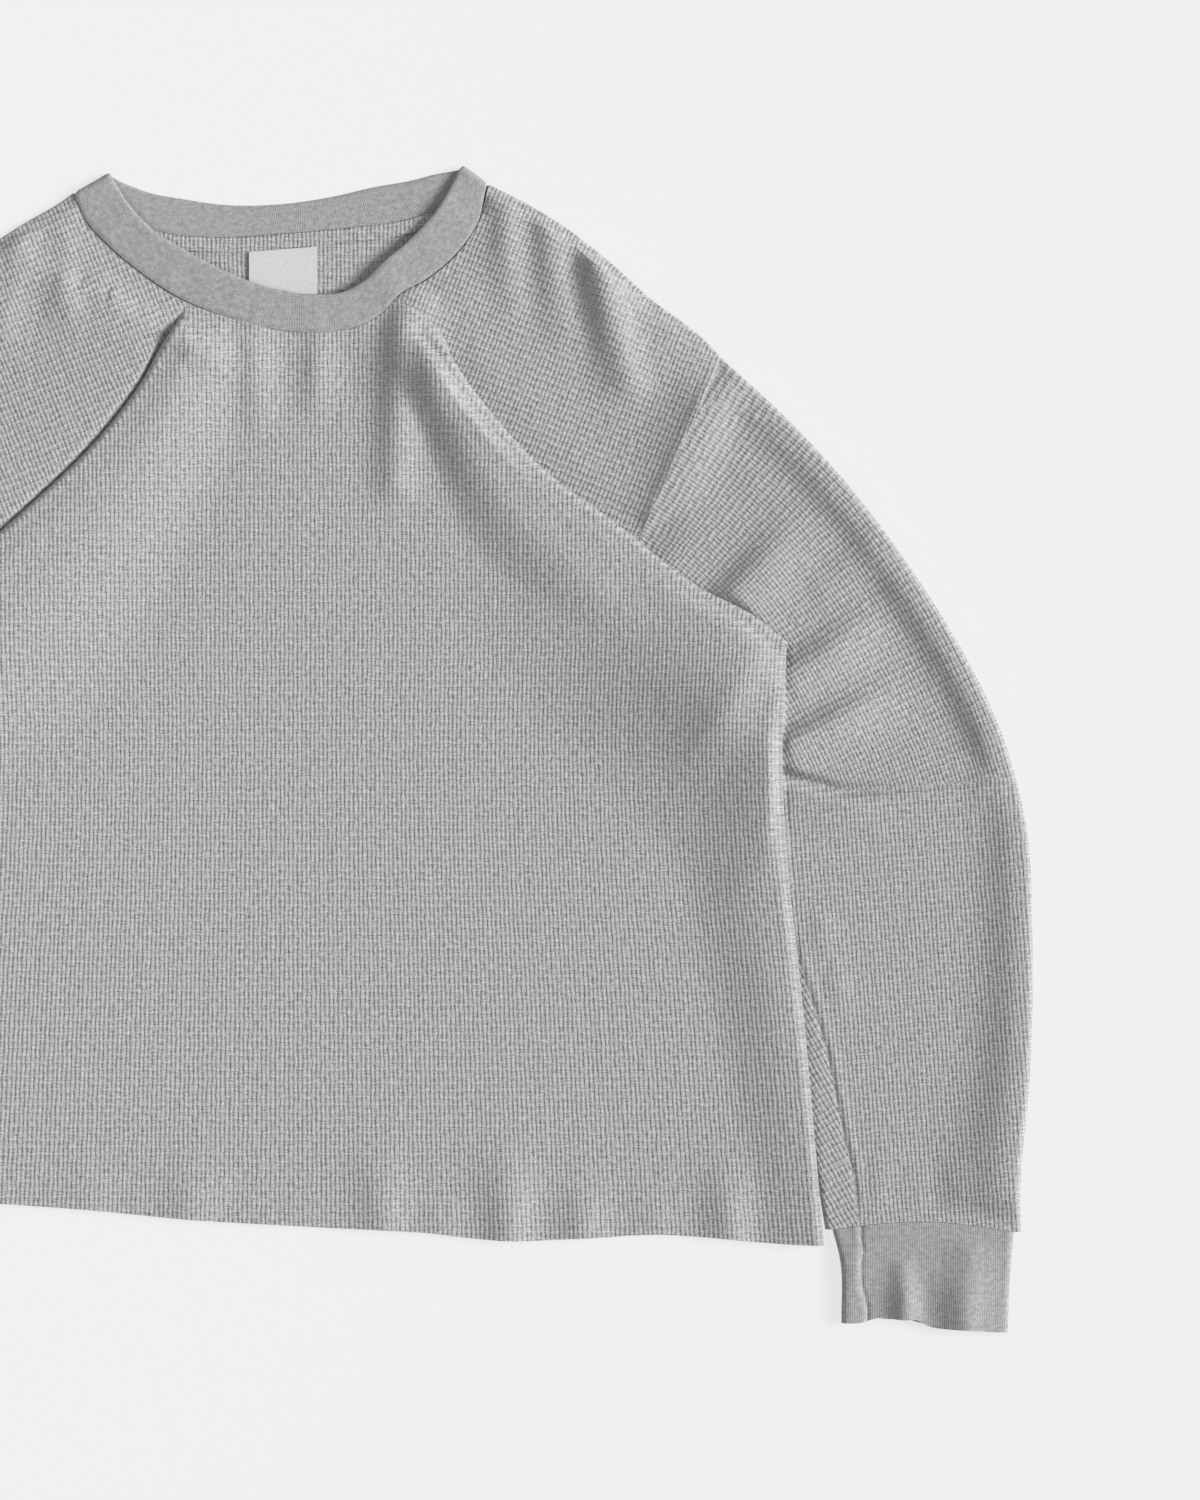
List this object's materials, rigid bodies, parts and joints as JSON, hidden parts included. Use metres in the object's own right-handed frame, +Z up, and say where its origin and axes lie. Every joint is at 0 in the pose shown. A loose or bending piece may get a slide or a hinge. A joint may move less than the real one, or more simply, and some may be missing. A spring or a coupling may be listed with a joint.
{
  "type": "long-sleeved thermal top",
  "caption": "Boxy long-sleeved crew-neck thermal top in heather grey waffle knit, laid flat with the sleeves tucked under the sides of the body.",
  "frame": {"origin": "bottom centre of the bounding box, on the surface that the top lies on", "axes": "+X to the wearer's left sleeve (right in the picture), +Y from the hem to the neck, +Z up from the surface, out of the front of the top"},
  "size_m": [0.835, 0.6524, 0.0168],
  "materials": {
    "waffle_knit": "heather grey cotton waffle knit, matt",
    "rib_knit": "heather grey fine cotton rib, matt",
    "label_cloth": "plain white woven tape, bare"
  },
  "bodies": {
    "root": {"front": "waffle_knit", "back": "waffle_knit", "sleeve_left": "waffle_knit", "sleeve_right": "waffle_knit", "neck_tape": "waffle_knit", "collar": "rib_knit", "cuff_left": "rib_knit", "cuff_right": "rib_knit", "label": "label_cloth"}
  },
  "joints": []
}
